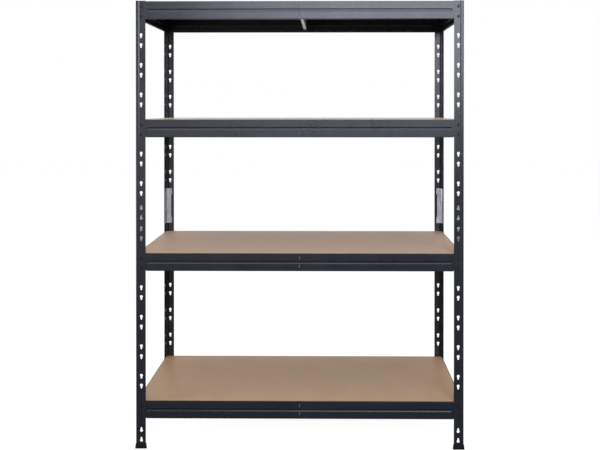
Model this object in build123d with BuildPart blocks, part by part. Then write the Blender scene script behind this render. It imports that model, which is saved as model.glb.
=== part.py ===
from build123d import *
import os

# Boltless steel shelving with four levels: folded angle posts in two lengths joined by splice
# connectors, four folded beams a level hooked into keyholes by rivets, a tie bar and a loose board.
# Millimetres. Origin: on the floor under the middle. +X right, +Y to the rear, +Z up; front is -Y.

# The whole rack
WIDTH = 1200.0
DEPTH = 500.0
HEIGHT = 1640.0
FOOT_BASE = 10.0
POST_LENGTH = (HEIGHT - FOOT_BASE) / 2

# Post: an angle of folded sheet, with a zone for the keyholes that is pressed in a little
POST_LEG = 36.0
POST_SHEET = 1.5
POST_CORNER_R = 4.0
STEP_START = 10.0
STEP_END = 14.0
STEP_DEPTH = 1.2
STEP_R = 3.0

# Keyholes: pairs at an even pitch down each piece, then one pair upside down at its lower end
COLUMN_INSET = 20.0
PAIR_PITCH = 36.0
GROUP_PITCH = 108.3
GROUPS = 7
FIRST_PAIR = 37.2
TURNED_PAIR_GAP = 88.5
HEAD_R = 5.25
TAIL_TOP_R = 3.9
TAIL_END_R = 2.9
TAIL_LENGTH = 9.6
HEAD_ABOVE_MIDDLE = 2.9
SEAT_DROP = 5.5
PUNCH_DEPTH = 12.0

# Rivets that hook the beams and the connectors into the keyholes
NECK_R = 3.25
RIVET_HEAD_R = 5.0
RIVET_HEAD = 1.6
RIVET_TAPER = 25.0
TAIL_HEAD_R = 4.5
TAIL_HEAD = 1.0
LUG_HEAD_R = 4.4
LUG_HEAD = 1.2

# Beam: one folded sheet with a closed hem on top, a ledge for the board and a bottom flange
BEAM_HEIGHT = 65.0
BEAM_TOP_ABOVE_PAIR = 35.2
BEAM_SHEET = 1.2
BEAM_END_GAP = 6.0
FLANGE_START = 38.0
HEM_R = 1.1
LEDGE_DROP = 8.0
LEDGE_REACH = 20.0
LEDGE_LIP = 5.0
LEDGE_R = 2.0
FLANGE_REACH = 14.0
BOTTOM_R = 2.0
RIVET_HOLE_PLAY = 0.05
BEAD_HEIGHT = 11.0
BEAD_DEPTH = 2.4
BEAD_TAPER = 55.0
BEAD_START = 42.0
BEAD_CORNER_R = 3.6
BEAD_BACK_GROWTH = 0.6

# Tie bar: a channel open to the top, whose hooks drop into slots in the front and rear beams
TIE_SHEET = 1.0
TIE_WIDTH = 12.0
TIE_BOTTOM = 54.0
TIE_END_GAP = 7.2
TIE_NOTCH_REACH = 21.5
TIE_NOTCH_DROP = 15.5
HOOK_NECK = 7.0
HOOK_TIP = 2.5
HOOK_DEPTH = 1.3
HOOK_DROPS = (15.5, 44.5)
SLOT_WIDTH = 1.8
SLOT_PLAY = 0.4

# Board, connector and foot
BOARD_INSET = 5.6
BOARD_THICKNESS = 9.0
BOARD_CORNER_R = 5.0
BOARD_EASE = 0.5
CONNECTOR_LENGTH = 150.0
CONNECTOR_SHEET = 2.0
CONNECTOR_LEG = 28.0
CONNECTOR_R = 8.0
CONNECTOR_WAIST = 3.0
CONNECTOR_WAIST_LENGTH = 96.0
FOOT_HEIGHT = 17.5
FOOT_BOTTOM = 42.5
FOOT_TOP = 38.0
FOOT_CORNER_R = 4.0
FOOT_WALL = 2.2
SOCKET_PLAY = 0.2

# Places worked out from the sizes above
LEFT = -WIDTH / 2
FRONT = -DEPTH / 2
LOWER_POST = FOOT_BASE
UPPER_POST = FOOT_BASE + POST_LENGTH
WEB_FACE = STEP_DEPTH + POST_SHEET
WEB_BACK = WEB_FACE + BEAM_SHEET
HEM_BACK = WEB_BACK + BEAM_SHEET
SEAT_BELOW_MIDDLE = SEAT_DROP - HEAD_ABOVE_MIDDLE

# The group of keyholes that carries each level, counted down from the top of its post piece
LEVELS = {1: (LOWER_POST, 6), 2: (LOWER_POST, 1), 3: (UPPER_POST, 4), 4: (UPPER_POST, 0)}


def pair_height(piece_bottom, group):
    """Middle height of a pair of keyholes. Group 7 is the upside-down pair at the lower end."""
    drop = FIRST_PAIR + min(group, GROUPS - 1) * GROUP_PITCH
    if group == GROUPS:
        drop += TURNED_PAIR_GAP
    return piece_bottom + POST_LENGTH - drop


def level_height(level):
    """Height of the top edge of a level's beams."""
    return pair_height(*LEVELS[level]) + BEAM_TOP_ABOVE_PAIR


def seat_heights(piece_bottom, group):
    """Heights where two rivets sit in the narrow ends of a pair of keyholes."""
    middle = pair_height(piece_bottom, group)
    drop = -SEAT_BELOW_MIDDLE if group == GROUPS else SEAT_BELOW_MIDDLE
    return [middle + PAIR_PITCH / 2 - drop, middle - PAIR_PITCH / 2 - drop]


def rivet_heights(top):
    """Heights of the two rivets at each end of the beams that have this top edge."""
    middle = top - BEAM_TOP_ABOVE_PAIR - SEAT_BELOW_MIDDLE
    return [middle + PAIR_PITCH / 2, middle - PAIR_PITCH / 2]


def front_plane(depth):
    """Plane parallel to the front face, at a depth behind it, seen from the front."""
    return Plane(origin=(0, FRONT + depth, 0), x_dir=(1, 0, 0), z_dir=(0, -1, 0))


def left_plane(depth):
    """Plane parallel to the left face, at a depth inside it, seen from the left."""
    return Plane(origin=(LEFT + depth, 0, 0), x_dir=(0, -1, 0), z_dir=(-1, 0, 0))


# The two legs of the front left post: the plane each is seen on, where its column of keyholes
# stands on that plane, and the sense in which the plane's X leads away from the post's corner
LEGS = ((front_plane, LEFT + COLUMN_INSET, 1), (left_plane, -FRONT - COLUMN_INSET, -1))


def angle_section(grow=0.0):
    """Section of a post at the front left corner, thicker all round by grow."""
    with BuildSketch() as section:
        with BuildLine():
            FilletPolyline(
                (LEFT + POST_LEG + grow, FRONT + STEP_DEPTH - grow),
                (LEFT + STEP_END, FRONT + STEP_DEPTH - grow),
                (LEFT + STEP_START, FRONT - grow),
                (LEFT - grow, FRONT - grow),
                (LEFT - grow, FRONT + STEP_START),
                (LEFT + STEP_DEPTH - grow, FRONT + STEP_END),
                (LEFT + STEP_DEPTH - grow, FRONT + POST_LEG + grow),
                radius=[STEP_R, STEP_R, POST_CORNER_R, STEP_R, STEP_R],
            )
            offset(amount=POST_SHEET + 2 * grow, side=Side.RIGHT)
        make_face()
    return section.sketch


def keyhole(turned):
    """Round head and a tapering tail that points down, or up on a turned one."""
    with BuildSketch() as hole:
        with Locations((0, HEAD_ABOVE_MIDDLE)):
            Circle(HEAD_R)
        tail_y = HEAD_ABOVE_MIDDLE - TAIL_LENGTH
        Polygon(
            (-TAIL_TOP_R, HEAD_ABOVE_MIDDLE),
            (-TAIL_END_R, tail_y),
            (TAIL_END_R, tail_y),
            (TAIL_TOP_R, HEAD_ABOVE_MIDDLE),
            align=None,
        )
        with Locations((0, tail_y)):
            Circle(TAIL_END_R)
    return hole.sketch.rotate(Axis.Z, 180) if turned else hole.sketch


def post_piece(bottom):
    """One length of post at the front left corner."""
    with BuildPart() as post:
        with BuildSketch(Plane.XY.offset(bottom)):
            add(angle_section())
        extrude(amount=POST_LENGTH)
        for group in range(GROUPS + 1):
            middle = pair_height(bottom, group)
            hole = keyhole(turned=group == GROUPS)
            for height in (middle + PAIR_PITCH / 2, middle - PAIR_PITCH / 2):
                for leg_plane, column, _ in LEGS:
                    with BuildSketch(leg_plane(0)):
                        with Locations((column, height)):
                            add(hole)
                    extrude(amount=-PUNCH_DEPTH, mode=Mode.SUBTRACT)
    return post.part


def connector():
    """Splice angle inside the post joint, with lugs for two pairs of keyholes on each leg."""
    middle = UPPER_POST
    with BuildPart() as splice:
        with BuildSketch(Plane.XY.offset(middle - CONNECTOR_LENGTH / 2)):
            with BuildLine():
                FilletPolyline(
                    (LEFT + CONNECTOR_LEG, FRONT + WEB_FACE),
                    (LEFT + WEB_FACE, FRONT + WEB_FACE),
                    (LEFT + WEB_FACE, FRONT + CONNECTOR_LEG),
                    radius=CONNECTOR_R,
                )
                offset(amount=CONNECTOR_SHEET, side=Side.RIGHT)
            make_face()
        extrude(amount=CONNECTOR_LENGTH)
        heights = seat_heights(UPPER_POST, GROUPS) + seat_heights(LOWER_POST, 0)
        for leg_plane, column, away in LEGS:
            edge = column + away * (CONNECTOR_LEG - COLUMN_INSET)
            with BuildSketch(leg_plane(WEB_FACE)):
                with Locations((edge, middle)):
                    Rectangle(2 * CONNECTOR_WAIST, CONNECTOR_WAIST_LENGTH)
            extrude(amount=-CONNECTOR_SHEET, mode=Mode.SUBTRACT)
            with BuildSketch(leg_plane(WEB_FACE + CONNECTOR_SHEET / 2)):
                with Locations([(column, height) for height in heights]):
                    Circle(NECK_R)
            extrude(amount=CONNECTOR_SHEET / 2 + POST_SHEET)
            with BuildSketch(leg_plane(STEP_DEPTH)):
                with Locations([(column, height) for height in heights]):
                    Circle(LUG_HEAD_R)
            extrude(amount=LUG_HEAD, taper=RIVET_TAPER)
    return splice.part


def foot():
    """Flared plastic shoe, an angle like the post, with a socket for the post's end."""
    middle = POST_LEG / 2
    taper_run = (FOOT_BOTTOM - FOOT_TOP) / 2
    with BuildPart() as shoe:
        with BuildSketch():
            with Locations((LEFT + middle, FRONT + middle)):
                RectangleRounded(FOOT_BOTTOM, FOOT_BOTTOM, FOOT_CORNER_R)
        with BuildSketch(Plane.XY.offset(FOOT_HEIGHT)):
            with Locations((LEFT + middle, FRONT + middle)):
                RectangleRounded(FOOT_TOP, FOOT_TOP, FOOT_CORNER_R - taper_run)
        loft()
        with BuildSketch(Plane.XY.offset(FOOT_BASE)):
            add(angle_section(grow=SOCKET_PLAY))
        extrude(amount=FOOT_HEIGHT, mode=Mode.SUBTRACT)
        inside = WEB_FACE + SOCKET_PLAY + FOOT_WALL
        with BuildSketch():
            with Locations((LEFT + inside, FRONT + inside)):
                Rectangle(FOOT_BOTTOM, FOOT_BOTTOM, align=(Align.MIN, Align.MIN))
        extrude(amount=FOOT_HEIGHT, mode=Mode.SUBTRACT)
    return shoe.part


def beam(end_plane, run, top, with_slots):
    """Folded beam. The end plane's X points into the rack, its Y up and its Z along the run."""
    rivet_drops = [top - height for height in rivet_heights(top)]
    with BuildPart() as rail:
        with BuildSketch(end_plane.offset(BEAM_END_GAP)) as web:
            with Locations((WEB_FACE, top)):
                Rectangle(
                    BEAM_SHEET,
                    BEAM_HEIGHT - BOTTOM_R,
                    align=(Align.MIN, Align.MAX),
                )
                Rectangle(
                    HEM_BACK - WEB_FACE,
                    LEDGE_DROP + BEAM_SHEET,
                    align=(Align.MIN, Align.MAX),
                )
            fillet(web.vertices().group_by(Axis.Y)[-1], HEM_R)
        extrude(amount=run - 2 * BEAM_END_GAP)
        with BuildSketch(end_plane.offset(FLANGE_START)) as ledge:
            with BuildLine():
                FilletPolyline(
                    (WEB_BACK, top - LEDGE_DROP),
                    (LEDGE_REACH, top - LEDGE_DROP),
                    (LEDGE_REACH, top - LEDGE_DROP - LEDGE_LIP),
                    radius=LEDGE_R,
                )
                offset(amount=BEAM_SHEET, side=Side.RIGHT)
            make_face()
        extrude(amount=run - 2 * FLANGE_START)
        with BuildSketch(end_plane.offset(FLANGE_START)) as flange:
            with BuildLine():
                FilletPolyline(
                    (WEB_FACE, top - BEAM_HEIGHT + 2 * BOTTOM_R),
                    (WEB_FACE, top - BEAM_HEIGHT),
                    (FLANGE_REACH, top - BEAM_HEIGHT),
                    radius=BOTTOM_R,
                )
                offset(amount=BEAM_SHEET, side=Side.LEFT)
            make_face()
        extrude(amount=run - 2 * FLANGE_START)
        face = Plane(
            origin=end_plane.from_local_coords((WEB_FACE, top, run / 2)),
            x_dir=end_plane.z_dir,
            z_dir=-end_plane.x_dir,
        )
        bead_run = run - 2 * BEAD_START
        with BuildSketch(face.offset(-BEAM_SHEET)):
            with Locations((0, -BEAM_HEIGHT / 2)):
                RectangleRounded(
                    bead_run + 2 * BEAD_BACK_GROWTH,
                    BEAD_HEIGHT + 2 * BEAD_BACK_GROWTH,
                    BEAD_CORNER_R,
                )
        extrude(amount=-BEAD_DEPTH, taper=BEAD_TAPER)
        with BuildSketch(face):
            with Locations((0, -BEAM_HEIGHT / 2)):
                RectangleRounded(bead_run, BEAD_HEIGHT, BEAD_CORNER_R)
        extrude(amount=-BEAD_DEPTH, taper=BEAD_TAPER, mode=Mode.SUBTRACT)
        with BuildSketch(face):
            for end in (-1, 1):
                across = end * (run / 2 - COLUMN_INSET)
                with Locations([(across, -drop) for drop in rivet_drops]):
                    Circle(NECK_R + RIVET_HOLE_PLAY)
        extrude(amount=-2 * BEAM_SHEET, mode=Mode.SUBTRACT)
        if with_slots:
            slot_height = HOOK_NECK + HOOK_TIP + 2 * SLOT_PLAY
            with BuildSketch(face):
                for drop in HOOK_DROPS:
                    with Locations((0, -drop + HOOK_TIP + SLOT_PLAY)):
                        Rectangle(SLOT_WIDTH, slot_height, align=(Align.CENTER, Align.MAX))
            extrude(amount=-2 * BEAM_SHEET, mode=Mode.SUBTRACT)
    return rail.part


def tie_bar(top):
    """Channel under the board, from the front beam to the rear beam, on the middle line."""
    run = DEPTH - 2 * TIE_END_GAP
    left_face = -TIE_SHEET / 2
    with BuildPart() as bar:
        with BuildSketch(front_plane(TIE_END_GAP)) as section:
            with Locations((left_face, top - TIE_BOTTOM)):
                Rectangle(TIE_WIDTH, TIE_BOTTOM - LEDGE_DROP, align=(Align.MIN, Align.MIN))
            with Locations((left_face + TIE_SHEET, top - TIE_BOTTOM + TIE_SHEET)):
                Rectangle(
                    TIE_WIDTH - 2 * TIE_SHEET,
                    TIE_BOTTOM,
                    align=(Align.MIN, Align.MIN),
                    mode=Mode.SUBTRACT,
                )
            fillet(section.vertices().group_by(Axis.Y)[0], TIE_SHEET)
        extrude(amount=-run)
        for y, near in ((FRONT, Align.MIN), (-FRONT, Align.MAX)):
            with Locations((left_face, y, top - TIE_NOTCH_DROP)):
                Box(
                    TIE_WIDTH,
                    TIE_NOTCH_REACH,
                    TIE_BOTTOM,
                    align=(Align.MIN, near, Align.MIN),
                    mode=Mode.SUBTRACT,
                )
            inward = 1 if y < 0 else -1
            for drop in HOOK_DROPS:
                with Locations((left_face, y + inward * HOOK_DEPTH, top - drop)):
                    Box(
                        TIE_SHEET,
                        TIE_END_GAP - HOOK_DEPTH + TIE_SHEET,
                        HOOK_NECK,
                        align=(Align.MIN, near, Align.MAX),
                    )
                    Box(
                        TIE_SHEET,
                        WEB_FACE - HOOK_DEPTH - SLOT_PLAY / 2,
                        HOOK_NECK + HOOK_TIP,
                        align=(Align.MIN, near, Align.MAX),
                    )
    return bar.part


def board(top):
    """Loose board that lies on the ledges, with its corners and upper edges eased."""
    with BuildPart() as panel:
        with BuildSketch(Plane.XY.offset(top - LEDGE_DROP)):
            RectangleRounded(WIDTH - 2 * BOARD_INSET, DEPTH - 2 * BOARD_INSET, BOARD_CORNER_R)
        extrude(amount=BOARD_THICKNESS)
        chamfer(panel.faces().sort_by(Axis.Z)[-1].edges(), BOARD_EASE)
    return panel.part


def rivets(top):
    """The sixteen rivets of a level, four at each post."""
    with BuildPart() as group:
        for leg_plane, column, _ in LEGS:
            places = [(column, height) for height in rivet_heights(top)]
            with BuildSketch(leg_plane(WEB_BACK)):
                with Locations(places):
                    Circle(NECK_R)
            extrude(amount=BEAM_SHEET + POST_SHEET)
            with BuildSketch(leg_plane(STEP_DEPTH)):
                with Locations(places):
                    Circle(RIVET_HEAD_R)
            extrude(amount=RIVET_HEAD, taper=RIVET_TAPER)
            with BuildSketch(leg_plane(WEB_BACK)):
                with Locations(places):
                    Circle(TAIL_HEAD_R)
            extrude(amount=-TAIL_HEAD, taper=RIVET_TAPER)
        mirror(about=Plane.YZ)
        mirror(about=Plane.XZ)
    return group.part


def write(shape, name):
    """Labels a finished piece and writes it to its own file."""
    shape.label = name
    export_step(shape, f"parts/{name}.step")


def write_corners(shape, stem):
    """Writes a front left piece and its copies at the other three corners."""
    front_right = mirror(shape, about=Plane.YZ)
    write(shape, f"{stem}_front_left")
    write(front_right, f"{stem}_front_right")
    write(mirror(shape, about=Plane.XZ), f"{stem}_rear_left")
    write(mirror(front_right, about=Plane.XZ), f"{stem}_rear_right")


os.makedirs("parts", exist_ok=True)

write_corners(post_piece(LOWER_POST), "post_lower")
write_corners(post_piece(UPPER_POST), "post_upper")
write_corners(connector(), "connector")
write_corners(foot(), "foot")

front_end = Plane(origin=(LEFT, FRONT, 0), x_dir=(0, 1, 0), z_dir=(1, 0, 0))
left_end = Plane(origin=(LEFT, -FRONT, 0), x_dir=(1, 0, 0), z_dir=(0, -1, 0))
for level in LEVELS:
    top = level_height(level)
    front_beam = beam(front_end, WIDTH, top, with_slots=True)
    left_beam = beam(left_end, DEPTH, top, with_slots=False)
    write(front_beam, f"beam_{level}_front")
    write(mirror(front_beam, about=Plane.XZ), f"beam_{level}_rear")
    write(left_beam, f"beam_{level}_left")
    write(mirror(left_beam, about=Plane.YZ), f"beam_{level}_right")
    write(tie_bar(top), f"tie_bar_{level}")
    write(board(top), f"board_{level}")
    write(rivets(top), f"rivets_{level}")
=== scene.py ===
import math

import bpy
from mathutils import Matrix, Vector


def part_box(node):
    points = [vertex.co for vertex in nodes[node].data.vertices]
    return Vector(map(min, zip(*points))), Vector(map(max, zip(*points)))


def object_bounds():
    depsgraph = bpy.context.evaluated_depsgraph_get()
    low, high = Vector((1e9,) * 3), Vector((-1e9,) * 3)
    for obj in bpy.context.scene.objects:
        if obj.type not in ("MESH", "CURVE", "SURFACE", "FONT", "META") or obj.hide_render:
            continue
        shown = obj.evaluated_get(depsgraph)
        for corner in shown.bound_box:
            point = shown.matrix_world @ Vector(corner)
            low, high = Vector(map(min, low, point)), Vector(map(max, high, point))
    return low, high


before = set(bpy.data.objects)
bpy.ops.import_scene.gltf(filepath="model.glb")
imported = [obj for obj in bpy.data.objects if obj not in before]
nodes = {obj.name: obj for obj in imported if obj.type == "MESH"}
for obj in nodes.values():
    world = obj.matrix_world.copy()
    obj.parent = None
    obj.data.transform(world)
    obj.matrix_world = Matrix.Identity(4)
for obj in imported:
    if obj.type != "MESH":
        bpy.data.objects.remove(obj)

# Looks, light and camera for boltless steel shelving: anthracite powder-coated posts, beams and
# rivets, bare galvanised connectors and tie bars, fibreboard shelves and moulded plastic feet.
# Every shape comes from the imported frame. Metres; +X right, +Y to the rear, +Z up; front is -Y.

cad_low, cad_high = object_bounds()
centre = (cad_low + cad_high) / 2
height = cad_high.z - cad_low.z

# ---------------------------------------------------------------- camera
CAMERA_RIGHT = 0.106         # from the middle of the rack
CAMERA_AHEAD = 2.697         # from the front faces of the posts
CAMERA_HEIGHT = 1.248
CAMERA_TURN = (-0.26, 0.48)  # degrees up and to the left
CAMERA_LENS = 44.32          # millimetres
CAMERA_SENSOR = 36.0         # millimetres
CAMERA_SHIFT = (-0.0372, -0.1897)
CAMERA_REACH = 60.0
POST_FACE_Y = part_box("post_upper_front_left")[0].y

# ---------------------------------------------------------------- light
WORLD_SEEN = 1.0             # the plain white that the camera sees behind the rack
WORLD_BACK = 0.70            # the light on the rack from behind
WORLD_FRONT = 0.10           # and from in front
WORLD_EDGES = (0.05, 0.55)   # directions' Y over which one passes into the other
FLOOR_SIZE = 28.0
FLOOR_GLOW = 0.95            # the white that the camera sees
FLOOR_ALBEDO = 0.16          # how much of the lamps' light the floor throws back
FLOOR_BACK = 0.65            # how bright a strip of the floor far behind is in reflections
FLOOR_BACK_EDGES = (1.5, 4.0)  # Y over which that strip comes in
STRIP_MIDDLE = -0.5          # X of the strip, where the tie bars mirror the floor
STRIP_EDGES = (0.7, 1.6)     # how far from its middle it starts and ends fading
LAMP_Y = POST_FACE_Y - 4.2   # the two lamps in front of the rack


# ---------------------------------------------------------------- node helpers
def add(tree, kind, inputs=None, **settings):
    """A node with its settings, and its sockets given as values or linked from other sockets."""
    made = tree.nodes.new(kind)
    for name, value in settings.items():
        setattr(made, name, value)
    for name, value in (inputs or {}).items():
        if isinstance(value, bpy.types.NodeSocket):
            tree.links.new(value, made.inputs[name])
        else:
            made.inputs[name].default_value = value
    return made


def noise(tree, place, scale, detail=2.0, rough=0.5, stretch=None):
    """Fractal noise with features about 1 / scale metres across."""
    if stretch is not None:
        place = add(tree, "ShaderNodeMapping", {"Vector": place, "Scale": stretch}).outputs[0]
    made = add(
        tree,
        "ShaderNodeTexNoise",
        {"Vector": place, "Scale": scale, "Detail": detail, "Roughness": rough},
    )
    return made.outputs["Fac"]


def remap(tree, value, low, high, to_low=0.0, to_high=1.0, smooth=False):
    """Value from low..high spread over to_low..to_high, and held at the ends."""
    made = add(
        tree,
        "ShaderNodeMapRange",
        {
            "Value": value,
            "From Min": low,
            "From Max": high,
            "To Min": to_low,
            "To Max": to_high,
        },
        interpolation_type="SMOOTHSTEP" if smooth else "LINEAR",
    )
    return made.outputs["Result"]


def maths(tree, operation, first, second=0.0):
    """Result of a Math node on one or two numbers or sockets."""
    made = add(tree, "ShaderNodeMath", {0: first, 1: second}, operation=operation)
    return made.outputs[0]


def mix(tree, factor, first, second):
    """Colour between two colours."""
    made = tree.nodes.new("ShaderNodeMix")
    made.data_type = "RGBA"
    for index, value in ((0, factor), (6, first), (7, second)):
        if isinstance(value, bpy.types.NodeSocket):
            tree.links.new(value, made.inputs[index])
        elif index == 0:
            made.inputs[index].default_value = value
        else:
            made.inputs[index].default_value = (*value, 1.0)
    return made.outputs[2]


def bump(tree, heights):
    """A normal from a chain of (height, distance in metres) pairs."""
    normal = None
    for value, distance in heights:
        inputs = {"Height": value, "Distance": distance, "Strength": 1.0}
        if normal is not None:
            inputs["Normal"] = normal
        normal = add(tree, "ShaderNodeBump", inputs).outputs["Normal"]
    return normal


def edge_mask(tree, radius, start):
    """0 on flat faces, 1 where a sharp outer or inner edge is within the radius."""
    rounded = add(tree, "ShaderNodeBevel", {"Radius": radius}, samples=6).outputs["Normal"]
    flat = add(tree, "ShaderNodeNewGeometry").outputs["Normal"]
    made = add(tree, "ShaderNodeVectorMath", {0: rounded, 1: flat}, operation="DOT_PRODUCT")
    return remap(tree, made.outputs["Value"], 1.0 - start, 1.0 - 6.0 * start)


def new_material(name):
    """A node material with its tree, its shader, and the place on the object."""
    material = bpy.data.materials.new(name)
    material.use_nodes = True
    tree = material.node_tree
    shader = tree.nodes["Principled BSDF"]
    place = add(tree, "ShaderNodeTexCoord").outputs["Object"]
    return material, tree, shader, place


def link(tree, shader, **sockets):
    """Links sockets to the shader's inputs, which are named with _ for a space."""
    for name, value in sockets.items():
        tree.links.new(value, shader.inputs[name.replace("_", " ")])


# ---------------------------------------------------------------- materials
def powder_coat(name, dark, light, gloss=(0.25, 0.35), wear=0.15, shine=0.5):
    """Baked powder coating: fine orange peel, a drifting shade, and thin coat along the edges."""
    material, tree, shader, place = new_material(name)
    drift = noise(tree, place, 5.0, 4.0, 0.6)
    cloud = noise(tree, place, 38.0, 3.0, 0.55)
    speck = noise(tree, place, 1500.0, 2.0, 0.7)
    peel = noise(tree, place, 420.0, 1.0, 0.4)
    shade = maths(tree, "ADD", drift, maths(tree, "MULTIPLY", cloud, 0.35))
    colour = mix(tree, remap(tree, shade, 0.45, 0.9), dark, light)
    colour = mix(
        tree,
        remap(tree, speck, 0.60, 0.78, 0.0, 0.18),
        colour,
        [2.1 * c for c in light],
    )
    edge = edge_mask(tree, 0.0011, 0.02)
    chafe = remap(tree, noise(tree, place, 90.0, 5.0, 0.7), 0.42, 0.66)
    rubbed = maths(tree, "MULTIPLY", edge, chafe)
    colour = mix(
        tree,
        maths(tree, "MULTIPLY", rubbed, wear),
        colour,
        (0.10, 0.105, 0.115),
    )
    smear = noise(tree, place, 14.0, 5.0, 0.65, stretch=(1.0, 1.0, 0.35))
    gloss_value = remap(tree, smear, 0.30, 0.70, gloss[0], gloss[1])
    gloss_value = maths(tree, "ADD", gloss_value, remap(tree, speck, 0.3, 0.7, -0.03, 0.03))
    link(
        tree,
        shader,
        Base_Color=colour,
        Roughness=gloss_value,
        Normal=bump(tree, [(peel, 0.00006), (speck, 0.00001)]),
    )
    shader.inputs["IOR"].default_value = 1.5
    shader.inputs["Specular IOR Level"].default_value = shine
    return material


def galvanised(
    name,
    dark,
    light,
    gloss=(0.30, 0.48),
    painted_shade_rim=(0.0009, 0.5),
    relief=0.00002,
    sheared=None,
):
    """Hot-dipped zinc: crystal spangle in flat-toned cells, a dull bloom, and fine scratches.
    The painted_shade_rim is how wide and how strong the painted shade along edges and in creases is.
    Faces along the sheared axis are the sheet's cut edges: bare steel, painted much darker than bare
    steel as painted shade."""
    material, tree, shader, place = new_material(name)
    bent = noise(tree, place, 60.0, 2.0)
    push = add(
        tree,
        "ShaderNodeVectorMath",
        {0: bent, 1: (0.004,) * 3},
        operation="MULTIPLY",
    ).outputs[0]
    warp = add(tree, "ShaderNodeVectorMath", {0: place, 1: push}, operation="ADD").outputs[0]
    cells = add(
        tree,
        "ShaderNodeTexVoronoi",
        {"Vector": warp, "Scale": 150.0, "Randomness": 1.0},
        feature="F1",
    ).outputs["Color"]
    tone = add(tree, "ShaderNodeSeparateColor", {"Color": cells}).outputs[0]
    bloom = noise(tree, place, 22.0, 5.0, 0.6)
    scratch = noise(tree, place, 260.0, 4.0, 0.7, stretch=(1.0, 1.0, 0.06))
    blend = maths(
        tree,
        "ADD",
        maths(tree, "MULTIPLY", tone, 0.6),
        maths(tree, "MULTIPLY", bloom, 0.5),
    )
    colour = mix(tree, remap(tree, blend, 0.15, 0.95), dark, light)
    # Painted shade: the zinc is darkened towards near black along outer edges and in creases.
    edge = edge_mask(tree, painted_shade_rim[0], 0.02)
    colour = mix(tree, maths(tree, "MULTIPLY", edge, painted_shade_rim[1]), colour, (0.10, 0.10, 0.105))
    if sheared is not None:
        facing = add(
            tree,
            "ShaderNodeSeparateXYZ",
            {0: add(tree, "ShaderNodeTexCoord").outputs["Normal"]},
        ).outputs[sheared]
        cut = remap(tree, maths(tree, "ABSOLUTE", facing), 0.55, 0.85)
        # The cut edges are bare steel but painted far darker than bare steel is: partly the real bare
        # edge, partly painted shade on the hook tips.
        bare = mix(
            tree,
            remap(tree, scratch, 0.35, 0.65),
            (0.030, 0.030, 0.033),
            (0.070, 0.070, 0.075),
        )
        colour = mix(tree, cut, colour, bare)
    rough = maths(
        tree,
        "ADD",
        remap(tree, tone, 0.0, 1.0, gloss[0], gloss[1]),
        remap(tree, bloom, 0.35, 0.7, -0.03, 0.10),
    )
    link(
        tree,
        shader,
        Base_Color=colour,
        Roughness=rough,
        Normal=bump(tree, [(tone, relief), (scratch, relief / 2.0)]),
    )
    shader.inputs["Metallic"].default_value = 1.0
    return material


def fibreboard(name):
    """Medium-density fibreboard: fine felted fibres and dark flecks, open darker edges, and a dull
    underside painted near black as painted shade.
    It is glossier seen almost edge-on."""
    material, tree, shader, place = new_material(name)
    along = noise(tree, place, 700.0, 4.0, 0.65, stretch=(0.16, 1.0, 1.0))
    across = noise(tree, place, 700.0, 4.0, 0.65, stretch=(1.0, 0.16, 1.0))
    which = remap(tree, noise(tree, place, 130.0, 2.0), 0.44, 0.56)
    weave = add(tree, "ShaderNodeMix", {0: which, 2: along, 3: across}).outputs[0]
    blotch = noise(tree, place, 9.0, 5.0, 0.6)
    fleck = noise(tree, place, 430.0, 5.0, 0.75)
    tone = maths(
        tree,
        "ADD",
        maths(tree, "MULTIPLY", weave, 0.75),
        maths(tree, "MULTIPLY", blotch, 0.45),
    )
    colour = mix(
        tree,
        remap(tree, tone, 0.36, 0.84),
        (0.310, 0.178, 0.092),
        (0.480, 0.300, 0.166),
    )
    colour = mix(
        tree,
        remap(tree, fleck, 0.60, 0.74, 0.0, 0.55),
        colour,
        (0.150, 0.092, 0.056),
    )
    upright = add(
        tree,
        "ShaderNodeSeparateXYZ",
        {0: add(tree, "ShaderNodeTexCoord").outputs["Normal"]},
    ).outputs["Z"]
    side = remap(tree, maths(tree, "ABSOLUTE", upright), 0.85, 0.35)
    under = remap(tree, upright, -0.3, -0.8)
    pores = noise(tree, place, 520.0, 5.0, 0.8, stretch=(1.0, 1.0, 2.2))
    open_edge = mix(
        tree,
        remap(tree, pores, 0.35, 0.65),
        (0.070, 0.040, 0.024),
        (0.190, 0.120, 0.074),
    )
    colour = mix(tree, side, colour, open_edge)
    # Painted shade: the underside is painted near black, standing in for the shade under the board.
    colour = mix(tree, maths(tree, "MULTIPLY", under, 0.8), colour, (0.030, 0.020, 0.013))
    rough = maths(
        tree,
        "ADD",
        remap(tree, blotch, 0.30, 0.70, 0.40, 0.50),
        remap(tree, weave, 0.30, 0.70, -0.05, 0.05),
    )
    rough = maths(tree, "ADD", rough, maths(tree, "MULTIPLY", side, 0.3))
    rough = maths(tree, "ADD", rough, maths(tree, "MULTIPLY", under, 0.5))
    facing = add(tree, "ShaderNodeLayerWeight").outputs["Facing"]
    skim = remap(tree, facing, 0.95, 0.985, 1.0, 0.55)
    rough = maths(tree, "MULTIPLY", rough, skim)
    link(
        tree,
        shader,
        Base_Color=colour,
        Roughness=rough,
        Normal=bump(tree, [(weave, 0.00006), (fleck, 0.00004)]),
    )
    shader.inputs["IOR"].default_value = 1.5
    shader.inputs["Specular IOR Level"].default_value = 0.5
    shader.inputs["Sheen Weight"].default_value = 0.14
    shader.inputs["Sheen Roughness"].default_value = 0.25
    return material


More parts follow.
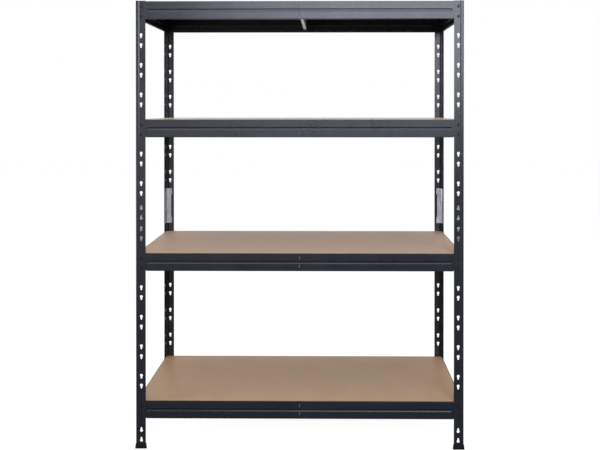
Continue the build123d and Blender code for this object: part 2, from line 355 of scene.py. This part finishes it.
def moulded_plastic(name):
    """Black moulded plastic with a fine spark-eroded grain, paler where it has been rubbed."""
    material, tree, shader, place = new_material(name)
    grain = noise(tree, place, 950.0, 3.0, 0.6)
    scuff = noise(tree, place, 70.0, 6.0, 0.7)
    colour = mix(
        tree,
        remap(tree, scuff, 0.35, 0.75),
        (0.0045, 0.0045, 0.005),
        (0.0095, 0.0095, 0.010),
    )
    edge = edge_mask(tree, 0.0012, 0.02)
    colour = mix(
        tree,
        maths(tree, "MULTIPLY", edge, remap(tree, scuff, 0.40, 0.65, 0.0, 0.5)),
        colour,
        (0.030, 0.030, 0.032),
    )
    rough = maths(
        tree,
        "ADD",
        remap(tree, scuff, 0.30, 0.70, 0.58, 0.72),
        remap(tree, grain, 0.3, 0.7, -0.04, 0.04),
    )
    link(tree, shader, Base_Color=colour, Roughness=rough, Normal=bump(tree, [(grain, 0.00008)]))
    shader.inputs["Specular IOR Level"].default_value = 0.12
    return material


FINISHES = {
    "steel_posts": powder_coat("coat_posts", (0.0065, 0.0078, 0.0105), (0.0105, 0.0122, 0.0155)),
    "steel_beams": powder_coat("coat_beams", (0.0062, 0.0080, 0.0122), (0.0098, 0.0122, 0.0178)),
    # The rivets' coat is painted darker than the posts' coat: painted shade standing in for the shaded
    # keyhole openings around the rivets.
    "steel_rivets": powder_coat(
        "coat_rivets", (0.004, 0.005, 0.006), (0.007, 0.008, 0.010), gloss=(0.42, 0.52), shine=0.25
    ),
    "galvanised_connectors": galvanised(
        "zinc_connectors",
        (0.43, 0.44, 0.44),
        (0.52, 0.53, 0.54),
        gloss=(0.30, 0.34),
        painted_shade_rim=(0.0020, 0.8),
        relief=0.000001,
    ),
    # The tie bars' zinc is painted paler than the connectors' zinc: painted light, standing in for the
    # light the bars catch from below.
    "galvanised_tie_bars": galvanised(
        "zinc_tie_bars",
        (0.70, 0.71, 0.72),
        (0.86, 0.87, 0.88),
        painted_shade_rim=(0.0022, 0.9),
        sheared="Y",
    ),
    "fibreboard": fibreboard("board_fibre"),
    "foot_plastic": moulded_plastic("plastic_feet"),
}
for node in nodes.values():
    for held in node.material_slots:
        held.material = FINISHES[held.material.name]


# ---------------------------------------------------------------- floor, world, lights, camera
def make_floor():
    """A plain white floor that the camera sees bright, and that lights the rack only softly, apart
    from the strip far behind that the tie bars mirror."""
    reach = FLOOR_SIZE / 2
    mesh = bpy.data.meshes.new("floor")
    corners = [(-reach, -reach), (reach, -reach), (reach, reach), (-reach, reach)]
    mesh.from_pydata([(x, y, cad_low.z) for x, y in corners], [], [(0, 1, 2, 3)])
    floor = bpy.data.objects.new("floor", mesh)
    bpy.context.scene.collection.objects.link(floor)
    material = bpy.data.materials.new("floor")
    material.use_nodes = True
    tree = material.node_tree
    tree.nodes.clear()
    seen = add(tree, "ShaderNodeLightPath").outputs["Is Camera Ray"]
    matt = add(tree, "ShaderNodeBsdfDiffuse", {"Color": (FLOOR_ALBEDO,) * 3 + (1.0,)}).outputs[0]
    way = add(tree, "ShaderNodeSeparateXYZ", {0: add(tree, "ShaderNodeTexCoord").outputs["Object"]})
    behind = remap(tree, way.outputs["Y"], *FLOOR_BACK_EDGES, 0.0, FLOOR_BACK, smooth=True)
    aside = maths(tree, "ABSOLUTE", maths(tree, "SUBTRACT", way.outputs["X"], STRIP_MIDDLE))
    behind = maths(tree, "MULTIPLY", behind, remap(tree, aside, *STRIP_EDGES, 1.0, 0.0, smooth=True))
    strength = add(tree, "ShaderNodeMix", {0: seen, 2: behind, 3: FLOOR_GLOW}).outputs[0]
    glow = add(tree, "ShaderNodeEmission", {"Strength": strength}).outputs[0]
    both = add(tree, "ShaderNodeAddShader", {0: matt, 1: glow}).outputs[0]
    add(tree, "ShaderNodeOutputMaterial", {"Surface": both})
    mesh.materials.append(material)


def make_world():
    """White to the camera. To the rack it is bright behind and dimmer in front."""
    world = bpy.data.worlds.new("studio")
    bpy.context.scene.world = world
    world.use_nodes = True
    tree = world.node_tree
    tree.nodes.clear()
    seen = add(tree, "ShaderNodeLightPath").outputs["Is Camera Ray"]
    way = add(tree, "ShaderNodeSeparateXYZ", {0: add(tree, "ShaderNodeTexCoord").outputs["Generated"]})
    behind = remap(tree, way.outputs["Y"], *WORLD_EDGES, WORLD_FRONT, WORLD_BACK, smooth=True)
    strength = add(tree, "ShaderNodeMix", {0: seen, 2: behind, 3: WORLD_SEEN}).outputs[0]
    glow = add(tree, "ShaderNodeBackground", {"Color": (1.0, 1.0, 1.0, 1.0), "Strength": strength})
    add(tree, "ShaderNodeOutputWorld", {"Surface": glow.outputs[0]})


def softbox(name, place, target, width, tall, power, colour=(1.0, 1.0, 1.0)):
    """A rectangular area light at a place, facing a target."""
    data = bpy.data.lights.new(name, "AREA")
    data.shape = "RECTANGLE"
    data.size, data.size_y = width, tall
    data.energy = power
    data.color = colour
    lamp = bpy.data.objects.new(name, data)
    lamp.location = place
    lamp.rotation_mode = "QUATERNION"
    lamp.rotation_quaternion = (Vector(target) - Vector(place)).to_track_quat("-Z", "Y")
    lamp.visible_camera = False
    bpy.context.scene.collection.objects.link(lamp)


make_floor()
make_world()
softbox(
    "softbox_high_right",
    (0.90, LAMP_Y, 1.64 * height),
    (0.0, POST_FACE_Y, 0.95 * height),
    4.0,
    2.6,
    252.0,
    (0.85, 0.88, 1.0),
)
softbox(
    "fill_low_left",
    (-1.70, LAMP_Y, 0.48 * height),
    (0.0, POST_FACE_Y, 0.60 * height),
    1.7,
    1.4,
    8.0,
)
softbox("overhead", (0.0, -0.6, 2.1 * height), (0.0, 0.0, 0.0), 3.5, 3.0, 75.0)
softbox("side_left", (-3.0, -0.9, 0.62 * height), (0.0, 0.0, 0.45 * height), 1.6, 1.8, 44.0)
softbox("side_right", (3.0, -0.9, 0.62 * height), (0.0, 0.0, 0.45 * height), 1.6, 1.8, 14.0)

camera_data = bpy.data.cameras.new("camera")
camera_data.lens = CAMERA_LENS
camera_data.sensor_width = CAMERA_SENSOR
camera_data.shift_x, camera_data.shift_y = CAMERA_SHIFT
camera_data.clip_end = CAMERA_REACH
camera = bpy.data.objects.new("camera", camera_data)
camera.location = (centre.x + CAMERA_RIGHT, POST_FACE_Y - CAMERA_AHEAD, cad_low.z + CAMERA_HEIGHT)
camera.rotation_euler = (math.radians(90.0 + CAMERA_TURN[0]), 0.0, math.radians(CAMERA_TURN[1]))
bpy.context.scene.collection.objects.link(camera)
bpy.context.scene.camera = camera
bpy.context.scene.view_settings.view_transform = "Standard"
